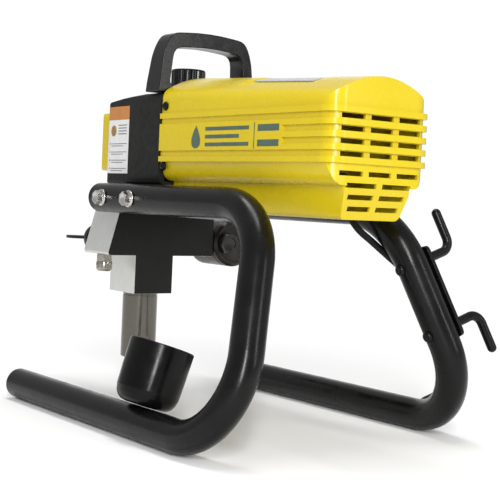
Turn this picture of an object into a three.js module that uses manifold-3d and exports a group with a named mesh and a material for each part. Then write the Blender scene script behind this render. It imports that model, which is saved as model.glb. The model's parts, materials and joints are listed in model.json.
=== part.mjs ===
// An airless paint sprayer: an electric drive over a piston pump, carried on two bent-tube runners.
// Millimetres. +X is the outlet side, -Y the pump end, +Y the motor end, +Z up.
import * as THREE from 'three';
import { mergeVertices } from 'three/addons/utils/BufferGeometryUtils.js';
import Module from 'manifold-3d';

const wasm = await Module();
wasm.setup();

// ---------- driving dimensions ----------
const GAP = 0.3; // between pieces that touch
const RUN = 0.4; // radial clearance of a turning or sliding fit

const TUBE_R = 16;
const TUBE_WALL = 2;
const TUBE_SIDES = 16;
const LEAN = THREE.MathUtils.degToRad(18.5); // each runner leans outwards going down
const RUNNER_X = 148; // centre plane to the lower run's axis
const RUNNER_H = 221.4; // lower run to upper run, along the leaning plane
const UPRIGHT_SLOPE_Y = -69.4; // how far the upright leans forward over that height
const LOWER_BEND_R = 67;
const UPPER_BEND_R = 80;
const LOWER_FRONT_Y = -411;
const UPPER_FRONT_Y = -369;
const BOLT_Y = [-341, -283];
const BOLT_R = 4;

const HOUSING = { rear: -282, corner: -325, front: -405, half: 60, frontHalf: 56, low: 241, high: 341 };
const WALL = 5;
const NOSE = { half: 30, front: -417.7, high: 330 };
const COVER = { half: 44, front: -439, low: 257, high: 324 };

const CRANK_Z = 293;
const CRANK_THROW = 6;
const GEAR_MODULE = 2;
const GEAR_TEETH = 28;
const PINION_TEETH = 8;
const MOTOR_Z = CRANK_Z - (GEAR_MODULE * (GEAR_TEETH + PINION_TEETH)) / 2;
const MOTOR_R = 36;
const SHAFT_R = 6;

const PUMP_Y = -407;
const ROD_R = 5;
const BLOCK = { rear: -378.6, front: -435.5, low: 117, shoulder: 161, high: 240.7 };
const CYLINDER_R = 20.4;
const CYLINDER_BORE = 14;
const CYLINDER_END_Z = 41;
const FLATS_TURN = THREE.MathUtils.degToRad(70); // the wrench flats' normal, from +X towards +Y

const SHROUD = { front: -281.7, rear: -0.7, half: 58, neck: 247, low: 216.6, wall: 3 };
const ROOF = { shoulder: 328, rise: 30.2, clear: 370, fall: THREE.MathUtils.degToRad(2.66) };
const RIB = { proud: 2.7, height: 5.6, pitch: 11.25, top: 314.5, count: 5 };
const PANEL_END_Y = -70;

const FILTER = { x: -112, z: 177, r: 28.2, front: -436, split: -390, rear: -378 };
const OUTLET = { x: 50, z: 160.7 };
const PRIME = { x: 38, z: 177 };
const KNOB_Y = -323.5;
const HANDLE = { front: -312, rear: -283.5, half: 62, low: 341.3, high: 409.5 };
const CUP = { y: -157.6, r: 31.5, height: 60 };
const HOOK_AT = [104, 174]; // along the far upright, from the lower corner
const HOOK_R = 4.75;

// ---------- finishes ----------
function finish(color, roughness, metalness = 0) {
  return new THREE.MeshStandardMaterial({ color, roughness, metalness });
}
const blackPaint = finish(0x141414, 0.45);
const yellowPlastic = finish(0xe8cf22, 0.3);
const darkCasting = finish(0x3a3c3a, 0.7);
const blackPlastic = finish(0x101010, 0.35);
const bareAluminium = finish(0xb9bbb8, 0.45, 0.9);
const steel = finish(0x9a9a98, 0.3, 1);
const zinc = finish(0xc8c8c4, 0.25, 1);
const copper = finish(0x9a5a30, 0.4, 0.8);
const whitePlastic = finish(0xe8e8e4, 0.5);
const rubber = finish(0x0c0c0c, 0.8);

// ---------- solids ----------
function toSolid(geometry) {
  const bare = geometry.clone();
  const shared = !bare.attributes.normal; // a boolean's result already shares its vertices
  bare.deleteAttribute('normal');
  bare.deleteAttribute('uv');
  const merged = shared ? bare : mergeVertices(bare, 1e-4);
  return new wasm.Manifold(new wasm.Mesh({
    numProp: 3,
    vertProperties: new Float32Array(merged.attributes.position.array),
    triVerts: new Uint32Array(merged.index.array),
  }));
}

function toGeometry(solid) {
  const { vertProperties, triVerts } = solid.getMesh();
  const geometry = new THREE.BufferGeometry();
  geometry.setAttribute('position', new THREE.BufferAttribute(vertProperties, 3));
  geometry.setIndex(new THREE.BufferAttribute(triVerts, 1));
  return geometry;
}

const combine = (how) => (first, ...rest) =>
  toGeometry(rest.reduce((sum, next) => sum[how](toSolid(next)), toSolid(first)));
const join = combine('add');
const cut = combine('subtract');
const common = combine('intersect');

// An outline whose corners [x, y, t] are rounded off over a length t on either side.
function outline(corners, Kind = THREE.Shape) {
  const shape = new Kind();
  const points = corners.map(([x, y]) => new THREE.Vector2(x, y));
  corners.forEach(([, , t = 0], i) => {
    const here = points[i];
    const before = points.at(i - 1).clone().sub(here).normalize().multiplyScalar(t).add(here);
    const after = points[(i + 1) % points.length].clone().sub(here).normalize().multiplyScalar(t).add(here);
    if (i === 0) shape.moveTo(before.x, before.y);
    else shape.lineTo(before.x, before.y);
    if (t > 0) shape.quadraticCurveTo(here.x, here.y, after.x, after.y);
  });
  return shape;
}

// The corners of one side and, in reverse, their mirror image in x = 0.
function mirrored(corners) {
  const paired = corners.filter(([x]) => x !== 0).reverse();
  return [...corners, ...paired.map(([x, y, t]) => [-x, y, t])];
}

const prism = (shape, depth, curveSegments) =>
  new THREE.ExtrudeGeometry(shape, { depth, curveSegments, bevelEnabled: false });

// An XY outline raised from z0 to z1, an XZ outline swept from y0 to y1, a YZ outline from x0 to x1.
const prismZ = (shape, z0, z1, curve = 4) => prism(shape, z1 - z0, curve).translate(0, 0, z0);
const prismY = (shape, y0, y1, curve = 4) =>
  prism(shape, y1 - y0, curve).rotateX(Math.PI / 2).translate(0, y1, 0);
const prismX = (shape, x0, x1, curve = 4) =>
  prism(shape, x1 - x0, curve).rotateY(Math.PI / 2).rotateX(Math.PI / 2).translate(x0, 0, 0);

const box = (x0, x1, y0, y1, z0, z1) =>
  new THREE.BoxGeometry(x1 - x0, y1 - y0, z1 - z0).translate((x0 + x1) / 2, (y0 + y1) / 2, (z0 + z1) / 2);

// Turned pieces from [radius, height] profiles, along +Z or +Y.
const turnedY = (profile, sides = 20) =>
  new THREE.LatheGeometry(profile.map(([r, h]) => new THREE.Vector2(r, h)), sides);
const turnedZ = (profile, sides = 20) => turnedY(profile, sides).rotateX(Math.PI / 2);
const rodProfile = (r, h0, h1) => [[0, h0], [r, h0], [r, h1], [0, h1]];
const ringProfile = (r0, r1, h0, h1) => [[r0, h0], [r1, h0], [r1, h1], [r0, h1], [r0, h0]];
const rodZ = (r, z0, z1, sides = 20) => turnedZ(rodProfile(r, z0, z1), sides);
const rodY = (r, y0, y1, sides = 20) => turnedY(rodProfile(r, y0, y1), sides);
const rodX = (r, x0, x1, sides = 20) => turnedY(rodProfile(r, x0, x1), sides).rotateZ(-Math.PI / 2);
const ringY = (r0, r1, y0, y1, sides = 20) => turnedY(ringProfile(r0, r1, y0, y1), sides);
const ringZ = (r0, r1, z0, z1, sides = 20) => turnedZ(ringProfile(r0, r1, z0, z1), sides);

function ngon(count, radius, turn = 0) {
  const corners = Array.from({ length: count }, (_, i) => turn + (i * 2 * Math.PI) / count);
  return corners.map((a) => [radius * Math.cos(a), radius * Math.sin(a)]);
}
const hexagon = (acrossFlats) => outline(ngon(6, acrossFlats / Math.sqrt(3), Math.PI / 6));

// Straight runs joined by arcs: one step along each straight, `steps` round each bend.
class BentPath extends THREE.Curve {
  constructor(corners, radius, steps) {
    super();
    this.stations = [];
    corners.forEach((corner, i) => {
      if (i === 0 || i === corners.length - 1) {
        const other = corners[i === 0 ? 1 : i - 1];
        const tangent = (i === 0 ? other.clone().sub(corner) : corner.clone().sub(other)).normalize();
        this.stations.push({ point: corner.clone(), tangent });
        return;
      }
      const back = corners[i - 1].clone().sub(corner).normalize();
      const on = corners[i + 1].clone().sub(corner).normalize();
      const half = back.angleTo(on) / 2;
      const r = Array.isArray(radius) ? radius[i - 1] : radius;
      const middle = back.clone().add(on).normalize().multiplyScalar(r / Math.sin(half)).add(corner);
      const start = back.clone().multiplyScalar(r / Math.tan(half)).add(corner).sub(middle);
      const axis = start.clone().cross(back).negate().normalize();
      const sweep = Math.PI - 2 * half;
      for (let k = 0; k <= steps; k++) {
        const spoke = start.clone().applyAxisAngle(axis, (sweep * k) / steps);
        const tangent = axis.clone().cross(spoke).normalize();
        this.stations.push({ point: spoke.clone().add(middle), tangent });
      }
    });
  }
  get steps() {
    return this.stations.length - 1;
  }
  getSpacedPoints() {
    return this.stations.map(({ point }) => point.clone());
  }
  getTangentAt(u) {
    return this.stations[Math.round(u * this.steps)].tangent.clone();
  }
}

function bentTube(path, outer, inner, sides) {
  const section = outline(ngon(sides, outer));
  if (inner > 0) section.holes.push(outline(ngon(sides, inner), THREE.Path));
  return new THREE.ExtrudeGeometry(section, { steps: path.steps, extrudePath: path });
}

const machine = new THREE.Group();
function add(name, geometry, material, parent = machine) {
  const mesh = new THREE.Mesh(geometry, material);
  mesh.name = name;
  parent.add(mesh);
  return mesh;
}

// ---------- tubular runners ----------
// Each runner has its own axes: x outwards, z up along the leaning plane, y forwards or back.
function runnerAxes(side) {
  const group = new THREE.Group();
  const out = new THREE.Vector3(side * Math.cos(LEAN), 0, Math.sin(LEAN));
  const along = new THREE.Vector3(0, side, 0);
  group.applyMatrix4(new THREE.Matrix4().makeBasis(out, along, out.clone().cross(along)));
  group.position.set(side * RUNNER_X, 0, TUBE_R);
  machine.add(group);
  return group;
}

function uprightAxes(side) {
  const group = new THREE.Group();
  group.rotation.x = -Math.atan2(side * UPRIGHT_SLOPE_Y, RUNNER_H);
  return group;
}

function runnerTube(side) {
  const corners = [
    [LOWER_FRONT_Y, 0],
    [0, 0],
    [UPRIGHT_SLOPE_Y, RUNNER_H],
    [UPPER_FRONT_Y, RUNNER_H],
  ].map(([y, z]) => new THREE.Vector3(0, side * y, z));
  const path = new BentPath(corners, [LOWER_BEND_R, UPPER_BEND_R], 7);
  const hole = rodX(BOLT_R + RUN, -20, 20, 8).rotateY(LEAN);
  const holes = BOLT_Y.map((y) => hole.clone().translate(0, side * y, RUNNER_H));
  if (side < 0) {
    const upright = uprightAxes(side);
    upright.updateMatrix();
    const hookHoles = HOOK_AT.map((at) => rodX(3 + RUN, -20, 20, 8).translate(0, 0, at));
    holes.push(...hookHoles.map((hole) => hole.applyMatrix4(upright.matrix)));
  }
  return cut(bentTube(path, TUBE_R, TUBE_R - TUBE_WALL, TUBE_SIDES), ...holes);
}

// A push-in end plug: an insert, a rim over the tube's end and a shallow dome, facing +Y.
function endPlug() {
  const insert = TUBE_R - TUBE_WALL - 0.5;
  return turnedY([[0, -12], [insert, -12], [insert, GAP], [TUBE_R, GAP], [TUBE_R, 2], [10, 4], [0, 4.5]], 16);
}

// A hexagon flange bolt: its head stands outside the tube and its shank passes through. Turning it
// by the lean about the runner's y lays it level, along the machine's x.
function flangeBolt() {
  const head = prism(hexagon(13), 6, 1).rotateY(Math.PI / 2).translate(TUBE_R + 2.2, 0, 0);
  const flange = rodX(9, TUBE_R + GAP, TUBE_R + 2.5, 20);
  return join(flange, head, rodX(BOLT_R, -26, TUBE_R + 1, 12)).rotateY(LEAN);
}

function addRunner(side, word) {
  const axes = runnerAxes(side);
  add(`${word}_runner_tube`, runnerTube(side), blackPaint, axes);
  const ends = { lower: [LOWER_FRONT_Y, 0], upper: [UPPER_FRONT_Y, RUNNER_H] };
  for (const [level, [y, z]] of Object.entries(ends)) {
    const plug = add(`${word}_${level}_plug`, endPlug(), rubber, axes);
    plug.position.set(0, side * y, z);
    if (side > 0) plug.rotation.z = Math.PI;
  }
  BOLT_Y.forEach((y, i) => {
    const bolt = add(`${word}_${i ? 'rear' : 'front'}_bolt`, flangeBolt(), zinc, axes);
    bolt.position.set(0, side * y, RUNNER_H);
  });
  return axes;
}
const outletRunner = addRunner(1, 'outlet');
const filterRunner = addRunner(-1, 'filter');

// The channel under the drive that both upper runs bolt to. Its flanks lie along the runners.
function saddle() {
  const flank = (z, inwards) => {
    const w = -TUBE_R - inwards;
    const v = (z - TUBE_R - w * Math.sin(LEAN)) / Math.cos(LEAN);
    return [RUNNER_X + w * Math.cos(LEAN) - v * Math.sin(LEAN), z];
  };
  const top = HOUSING.low - GAP;
  const outside = [[0, top], flank(top, GAP), flank(210, GAP)];
  const inside = [flank(210, 4), flank(top - 4, 4), [0, top - 4]];
  const section = mirrored([...outside, ...inside]);
  const rear = -268;
  const body = prismY(outline(section), -362, rear);
  const notch = box(-50, 50, HOUSING.rear - 1, rear + 1, 200, 250);
  const holes = [outletRunner, filterRunner].flatMap((axes, i) => {
    axes.updateMatrix();
    const side = i ? -1 : 1;
    const hole = (y) => rodX(BOLT_R + RUN, -28, -10, 8).rotateY(LEAN).translate(0, side * y, RUNNER_H);
    return BOLT_Y.map((y) => hole(y).applyMatrix4(axes.matrix));
  });
  return cut(body, notch, ...holes);
}
add('drive_saddle', saddle(), blackPaint);

// ---------- cord hooks on the far upright ----------
function hookRod(up) {
  const reach = 55;
  const tip = up * 43;
  const path = new BentPath([
    new THREE.Vector3(TUBE_R + 4.6, 0, 0),
    new THREE.Vector3(reach, 0, 0),
    new THREE.Vector3(reach, 0, tip),
  ], 12, 6);
  return bentTube(path, HOOK_R, 0, 12);
}

function hookScrew() {
  const head = turnedY([[0, 0], [3, 0], [6.5, 1.5], [7.5, 4.5], [0, 4.5]], 16).rotateZ(-Math.PI / 2);
  return join(head.translate(-TUBE_R - GAP - 4.5, 0, 0), rodX(3, -TUBE_R - 1, TUBE_R + 4, 10));
}

function addHooks() {
  const upright = uprightAxes(-1);
  filterRunner.add(upright);
  const [lower, upper] = HOOK_AT;
  const [foot, head] = [lower - 13, upper + 13];
  const plate = prism(outline([[-11, foot, 6], [11, foot, 6], [11, head, 6], [-11, head, 6]]), 4, 3);
  plate.rotateY(Math.PI / 2).rotateX(Math.PI / 2).translate(TUBE_R + GAP, 0, 0);
  const holes = HOOK_AT.map((at) => rodX(3 + RUN, 10, 30, 8).translate(0, 0, at));
  add('hook_plate', cut(plate, ...holes), blackPaint, upright);
  HOOK_AT.forEach((at, i) => {
    const word = i ? 'upper' : 'lower';
    add(`${word}_cord_hook`, hookRod(i ? 1 : -1), blackPaint, upright).position.z = at;
    add(`${word}_hook_screw`, hookScrew(), blackPaint, upright).position.z = at;
  });
}
addHooks();

// ---------- drip cup ----------
function addCup() {
  const { r, height } = CUP;
  add('cup_peg', rodZ(6, TUBE_R + GAP, TUBE_R + 8, 16), blackPaint, outletRunner).position.y = CUP.y;
  const cup = turnedZ([
    [0, 8.5], [6.4, 8.5], [6.4, 0], [r - 14, 0], [r - 6, 3], [r - 2, 9], [r - 1, 14], [r, height],
    [r - 2.5, height], [r - 3.5, 17], [r - 8, 11.5], [0, 11.5],
  ]);
  add('drip_cup', cup, blackPlastic, outletRunner).position.set(0, CUP.y, TUBE_R + 0.5);
}
addCup();

// ---------- drive housing ----------
function driveHousing() {
  const { rear, corner, front, half, frontHalf, low, high } = HOUSING;
  const brow = [[-315, high, 4], [front + 6, high - 8, 6], [front, high - 20, 6]];
  const side = outline([[rear, low], [rear, high], ...brow, [front, low, 12]]);
  const plan = outline(mirrored([[half, rear], [half, corner, 16], [frontHalf, front, 12]]).reverse());
  const section = outline(mirrored([[half, low, 14], [half, high, 12]]));
  const block = common(prismX(side, -70, 70), prismZ(plan, low - 1, high + 1));
  const shell = common(block, prismY(section, front - 1, rear));
  const noseSection = outline(mirrored([[NOSE.half, low, 4], [NOSE.half, NOSE.high, 8]]));
  const nose = prismY(noseSection, NOSE.front, front + 10);
  return cut(
    join(shell, nose),
    box(-52, 52, -366, rear + 1, low + WALL, high - 8),
    box(-NOSE.half + WALL, NOSE.half - WALL, NOSE.front - 1, -378, low + WALL, NOSE.high - WALL),
    rodY(16 + GAP, -380, -360).translate(0, 0, CRANK_Z),
    rodZ(15, low - 1, low + WALL + 1).translate(0, PUMP_Y, 0),
    rodZ(4 + RUN, high - 12, high + 1, 12).translate(0, KNOB_Y, 0),
    box(-half - 1, -half + 3, -317, -293, 271, 303),
  );
}
add('drive_housing', driveHousing(), darkCasting);

function frontCover() {
  const { half, front, low, high } = COVER;
  const rear = NOSE.front - GAP;
  const section = outline(mirrored([[half, low, 7], [half, high, 7]]));
  const plan = outline(mirrored([[half, rear], [half, front + 2, 6], [0, front - 1, 20]]).reverse());
  const outer = common(prismY(section, front, rear), prismZ(plan, low - 1, high + 1));
  return cut(outer, box(-25, 25, front + 4, rear + 1, low + 4, high - 4));
}
add('front_cover', frontCover(), yellowPlastic);

// The plate that closes the gear chamber and carries the motor.
function gearboxCover() {
  const plate = outline(mirrored([[29, 224, 4], [29, 249], [44, 253, 3], [50, 264], [50, 329, 6]]));
  return cut(
    prismY(plate, -281.5, -277),
    rodY(SHAFT_R + 1, -290, -270, 16).translate(0, 0, MOTOR_Z),
    rodY(SHAFT_R + RUN, -290, -270, 16).translate(0, 0, CRANK_Z),
  );
}
add('gearbox_cover', gearboxCover(), bareAluminium);

// ---------- crank and gears ----------
function gearOutline(teeth, turn) {
  const pitch = (GEAR_MODULE * teeth) / 2;
  const root = pitch - 1.15 * GEAR_MODULE;
  const tip = pitch + 0.75 * GEAR_MODULE;
  const step = (2 * Math.PI) / teeth;
  const corners = [];
  for (let i = 0; i < teeth; i++) {
    for (const [r, share] of [[root, -0.27], [tip, -0.1], [tip, 0.1], [root, 0.27]]) {
      const a = turn + (i + share) * step;
      corners.push([r * Math.cos(a), r * Math.sin(a)]);
    }
  }
  return outline(corners);
}

function gear(teeth, turn, bore, y0, y1, z) {
  return cut(prismY(gearOutline(teeth, turn), y0, y1), rodY(bore, y0 - 1, y1 + 1, 16)).translate(0, 0, z);
}

// The gear has a gap straight below its centre, where the pinion has a tooth straight above its own.
const gearTurn = -Math.PI / 2 + Math.PI / GEAR_TEETH;
add('drive_gear', gear(GEAR_TEETH, gearTurn, 8 + GAP, -298, -288, CRANK_Z), steel);
add('motor_pinion', gear(PINION_TEETH, Math.PI / 2, 3.8 + GAP, -299, -287, MOTOR_Z), steel);

function crankshaft() {
  const shaft = turnedY([
    [0, -394], [18, -394], [18, -386], [8, -386], [8, -287], [SHAFT_R, -287], [SHAFT_R, -277.5], [0, -277.5],
  ]);
  return join(shaft, rodY(4, -413, -390, 16).translate(CRANK_THROW, 0, 0)).translate(0, 0, CRANK_Z);
}
add('crankshaft', crankshaft(), steel);
add('front_bearing', ringY(8 + RUN, 16, -377.7, -366.3).translate(0, 0, CRANK_Z), steel);

// ---------- pump rod ----------
// The yoke's window is as tall as the crank pin's whole circle and the rod's travel together.
function yoke() {
  const half = { x: 17, z: 23 };
  const window = { x: CRANK_THROW + 4.6, z: 2 * CRANK_THROW + 4.6 };
  const block = prismY(outline(mirrored([[half.x, -half.z, 6], [half.x, half.z, 6]])), -412, -400);
  const slot = prismY(outline(mirrored([[window.x, -window.z, 7], [window.x, window.z, 7]])), -413, -399);
  return cut(block, slot).translate(0, 0, CRANK_Z);
}
add('crank_yoke', yoke(), steel);
const ROD_TOP = CRANK_Z - 23 - GAP;
const pistonRod = turnedZ([[0, 88], [11, 88], [11, 92], [ROD_R, 92], [ROD_R, ROD_TOP], [0, ROD_TOP]]);
add('piston_rod', pistonRod.translate(0, PUMP_Y, 0), steel);
add('piston_seal', ringZ(ROD_R + GAP, CYLINDER_BORE - RUN, 92.3, 102).translate(0, PUMP_Y, 0), whitePlastic);
const nut = cut(prismZ(outline(ngon(8, 12.5)), HOUSING.low, 252), rodZ(ROD_R + RUN, 240, 253, 16));
add('packing_nut', nut.translate(0, PUMP_Y, 0), zinc);

// ---------- pump block ----------
function pumpBlock() {
  const { rear, front, low, shoulder, high } = BLOCK;
  const shape = outline([
    [-25.4, low], [25.4, low], [25.4, shoulder], [62.4, shoulder, 5], [40.2, high],
    [-45, high], [-81.2, 218], [-81.2, shoulder], [-25.4, shoulder],
  ]);
  return cut(
    prismY(shape, front, rear),
    rodZ(CYLINDER_BORE + 2.6, low - 1, 150).translate(0, PUMP_Y, 0),
    rodZ(ROD_R + RUN, 149, high + 1, 16).translate(0, PUMP_Y, 0),
  );
}
add('pump_block', pumpBlock(), bareAluminium);

function inletCylinder() {
  const top = BLOCK.low - GAP;
  const body = turnedZ([
    [11, CYLINDER_END_Z], [CYLINDER_R - 1, CYLINDER_END_Z], [CYLINDER_R, CYLINDER_END_Z + 1],
    [CYLINDER_R, top], [CYLINDER_BORE + 2.2, top], [CYLINDER_BORE + 2.2, 148], [CYLINDER_BORE, 148],
    [CYLINDER_BORE, 58],
    [5, 58], [5, 52], [11, 52], [11, CYLINDER_END_Z],
  ], 28);
  const flats = [-1, 1].map((s) => box(s > 0 ? 18.5 : -30, s > 0 ? 30 : -18.5, -30, 30, 53, 67));
  return cut(body, ...flats.map((flat) => flat.rotateZ(FLATS_TURN))).translate(0, PUMP_Y, 0);
}
add('inlet_cylinder', inletCylinder(), steel);
add('inlet_ball', new THREE.IcosahedronGeometry(7, 1).translate(0, PUMP_Y, 63.8), steel);

function outletFitting() {
  const hex = prismZ(hexagon(17), OUTLET.z - 8, OUTLET.z, 1);
  const thread = rodZ(5.5, OUTLET.z - 13, OUTLET.z - 7, 16);
  return cut(join(hex, thread), rodZ(3, 100, OUTLET.z + 1, 10)).translate(OUTLET.x, PUMP_Y, 0);
}
add('outlet_fitting', outletFitting(), zinc);
function outletNut() {
  const top = OUTLET.z - 8 - GAP;
  const body = turnedZ([[0, top - 11], [7, top - 11], [9.5, top - 8], [10, top - 3], [9, top], [0, top]], 12);
  const bores = [rodZ(5.5 + GAP, top - 6, top + 1, 16), rodZ(4, top - 12, top, 12)];
  return cut(body, ...bores).translate(OUTLET.x, PUMP_Y, 0);
}
add('outlet_nut', outletNut(), zinc);

// ---------- prime valve ----------
const primeBody = join(prismY(hexagon(22), -443.5, -435.8, 1), rodY(4, -452, -440, 12));
add('prime_valve', primeBody.translate(PRIME.x, 0, PRIME.z), zinc);
function primeKnob() {
  const bell = turnedY([
    [0, -474], [4, -474], [5.5, -468], [9, -461], [15, -454], [17, -448], [17, -444], [0, -444],
  ]);
  const plan = outline(mirrored([[20, -493, 6], [20, -478, 8], [6, -462, 4]]).reverse());
  const wing = prismZ(plan, -1.8, 1.8, 3);
  return cut(join(bell, wing), rodY(4 + RUN, -453, -443, 12));
}
add('prime_knob', primeKnob().translate(PRIME.x, 0, PRIME.z), blackPlastic);

// ---------- filter ----------
function filterBody() {
  const { r, front, split } = FILTER;
  const drum = rodY(r, front, split, 28);
  const bridge = box(10, -FILTER.x - 81.5, front, split, -16, 16);
  return cut(join(drum, bridge), rodY(22, front + 6, split + 1)).translate(FILTER.x, 0, FILTER.z);
}
add('filter_body', filterBody(), darkCasting);
function filterCap() {
  const { r, split, rear } = FILTER;
  const lid = turnedY([[0, split + GAP], [r, split + GAP], [r, rear - 3], [r - 3, rear], [0, rear]], 28);
  return join(lid, prismY(hexagon(23), rear - 1, rear + 10, 1).translate(12, 0, 0));
}
add('filter_cap', filterCap().translate(FILTER.x, 0, FILTER.z), darkCasting);
add('filter_element', ringY(11, 15, -429, -393, 16).translate(FILTER.x, 0, FILTER.z), whitePlastic);

// ---------- handle, pressure knob and switch ----------
function handle() {
  const { front, rear, half, low, high } = HANDLE;
  const arch = [[half, low], [half - 5, high - 24, 11], [half - 14, high - 5, 9], [0, high, 30]];
  const grip = [[half - 13, low + 6, 8], [half - 18, high - 20, 11], [0, high - 16.5, 20]];
  const shape = outline(mirrored(arch));
  shape.holes.push(outline(mirrored(grip), THREE.Path));
  const side = outline([[front - 1, low], [rear, low], [rear - 1, high + 1], [front + 6, high + 1]]);
  return common(prismY(shape, front, rear), prismX(side, -80, 80));
}
add('carry_handle', handle(), blackPlastic);

add('knob_collar', ringZ(4 + RUN, 11, HOUSING.high + GAP, 350, 20).translate(0, KNOB_Y, 0), blackPlastic);
function pressureKnob() {
  const flutes = 14;
  const corners = [];
  for (let i = 0; i < flutes; i++) {
    for (const [r, share] of [[17.2, -0.3], [19, -0.12], [19, 0.12], [17.2, 0.3]]) {
      const a = ((i + share) * 2 * Math.PI) / flutes;
      corners.push([r * Math.cos(a), r * Math.sin(a)]);
    }
  }
  const grip = prismZ(outline(corners), 352, 371.5, 1);
  return join(grip, rodZ(4, 322, 355, 12)).translate(0, KNOB_Y, 0);
}
add('pressure_knob', pressureKnob(), blackPlastic);

function switchBezel() {
  const face = outline([[-316.6, 271.4, 3], [-293.4, 271.4, 3], [-293.4, 302.6, 3], [-316.6, 302.6, 3]]);
  const frame = prismX(face, -62, -57.4, 3);
  return cut(frame, box(-63, -57, -312, -298, 276, 298));
}
add('switch_bezel', switchBezel(), blackPlastic);
function rocker() {
  const wedge = outline([[-64, 276.6], [-61.5, 287], [-61.5, 297.4], [-59, 297.4], [-59, 276.6]]);
  return prismY(wedge, -311.5, -298.5);
}
add('rocker_switch', rocker(), blackPlastic);

// ---------- motor ----------
const onMotor = (geometry) => geometry.translate(0, 0, MOTOR_Z);
add('motor_front_bell', onMotor(ringY(SHAFT_R + RUN, MOTOR_R, -276.7, -268)), bareAluminium);
add('motor_stator', onMotor(ringY(21, MOTOR_R, -267.7, -112.3)), copper);
add('motor_rear_bell', onMotor(ringY(SHAFT_R + RUN, MOTOR_R, -112, -104)), bareAluminium);
add('motor_armature', onMotor(ringY(SHAFT_R + GAP, 20, -250, -125)), copper);
const motorShaft = turnedY([[0, -301], [3.8, -301], [3.8, -285], [SHAFT_R, -285], [SHAFT_R, -72], [0, -72]]);
add('motor_shaft', onMotor(motorShaft), steel);
function coolingFan() {
  const blades = Array.from({ length: 6 }, (_, i) => {
    const blade = new THREE.BoxGeometry(24, 2.5, 13).translate(20, 0, 0).rotateX(0.5);
    return blade.rotateX(Math.PI / 2).translate(0, -82, 0).rotateY((i * Math.PI) / 3);
  });
  return cut(join(rodY(11, -89, -75, 16), ...blades), rodY(SHAFT_R + GAP, -95, -70, 16));
}
add('cooling_fan', onMotor(coolingFan()), blackPlastic);

// ---------- motor shroud ----------
// The roof arches from side to side and falls towards the rear.
function roof(inset) {
  const x = SHROUD.half - inset;
  const shoulder = ROOF.shoulder - inset;
  const arch = outline(mirrored([[x, 150], [x, shoulder, 9], [0, shoulder + ROOF.rise, 50]]));
  const level = prismY(arch, -310, 20, 8).translate(0, 0, -ROOF.shoulder);
  return level.rotateX(-ROOF.fall).translate(0, 0, ROOF.shoulder);
}

const sideSection = (inset) => {
  const x = SHROUD.half - inset;
  return outline(mirrored([[x - 7, SHROUD.neck + inset, 9], [x, 268, 3], [x, ROOF.clear]]));
};
const bellySection = (inset) => {
  const { low, neck } = SHROUD;
  const flank = [[40 - inset, neck - 4], [40 - inset, neck + 6]];
  return outline(mirrored([[35 - inset, low + inset, 5 - inset / 2], ...flank]));
};
const planOutline = (half, rear, round = 16) =>
  outline(mirrored([[half, SHROUD.front], [half, rear, round]]));

function shroudBody(inset) {
  const { front, rear, half, neck, low } = SHROUD;
  const start = inset ? front - 5 : front;
  const tall = prismZ(planOutline(half - inset, rear - inset), low - 1, ROOF.clear);
  const slim = prismZ(planOutline(40 - inset, rear - inset, 6), low - 1, neck + 6);
  const end = rear - inset;
  const slope = [[end - 12, low - 1], [end, neck], [end, neck + 8]];
  const lean = outline([[front - 10, low - 1], ...slope, [front - 10, neck + 8]]);
  const upper = common(prismY(sideSection(inset), start, 10), tall, roof(inset));
  const belly = common(prismY(bellySection(inset), start, 10), slim, prismX(lean, -50, 50));
  return join(upper, belly);
}

function ventSlots() {
  const slots = [];
  const slot = (x, width, z) => slots.push(box(x - width / 2, x + width / 2, -24, 6, z - 2.2, z + 2.2));
  for (const z of [308.9, 297.6, 286.3, 275, 258]) {
    for (const x of [-34, 0, 34]) slot(x, 27, z);
  }
  for (const [z, width] of [[247.5, 35], [237, 30.5], [226.5, 27]]) {
    for (const side of [-1, 1]) slot(side * (width / 2 + 3.5), width, z);
  }
  return slots;
}

const SCREWS = [325, 262].flatMap((z) => [-1, 1].map((side) => ({ side, y: -274, z })));

function motorShroud() {
  const ribPlan = planOutline(SHROUD.half + RIB.proud, SHROUD.rear + RIB.proud);
  const rib = (i) => RIB.top - i * RIB.pitch;
  const ribAt = (z) => prismZ(ribPlan, z - RIB.height / 2, z + RIB.height / 2);
  const ribs = Array.from({ length: RIB.count }, (_, i) => ribAt(rib(i)));
  const panel = common(prismZ(ribPlan, rib(3), rib(1)), box(-80, 80, -300, PANEL_END_Y, 200, 400));
  const recess = cut(box(-44, 44, -166, -58, 325, ROOF.clear), roof(1.5));
  const screwHoles = SCREWS.map(({ side, y, z }) => rodX(2.4, -8, 8, 8).translate(side * SHROUD.half, y, z));
  const outer = cut(join(shroudBody(0), ...ribs, panel), recess);
  // Above the housing the shroud's front is closed by a lip.
  const lip = box(-70, 70, -300, SHROUD.front + SHROUD.wall, HOUSING.high - 3, ROOF.clear);
  return cut(outer, cut(shroudBody(SHROUD.wall), lip), ...ventSlots(), ...screwHoles);
}

add('motor_shroud', motorShroud(), yellowPlastic);

SCREWS.forEach(({ side, y, z }) => {
  const dome = [[0, 0], [4.8, 0], [4.4, 1.8], [2.2, 3], [0, 3.2]];
  const head = turnedY(dome, 12).translate(0, SHROUD.half + GAP, 0);
  const screw = join(head, rodY(2, SHROUD.half - 6, SHROUD.half + 1, 8)).rotateZ((-side * Math.PI) / 2);
  const words = `${side > 0 ? 'outlet' : 'filter'}_${z > 300 ? 'upper' : 'lower'}`;
  add(`${words}_shroud_screw`, screw.translate(0, y, z), blackPaint);
});

const plateShell = cut(roof(0.5), roof(1.2));
add('rating_plate', common(plateShell, box(-30, 30, -158, -66, 325, ROOF.clear)), zinc);

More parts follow.
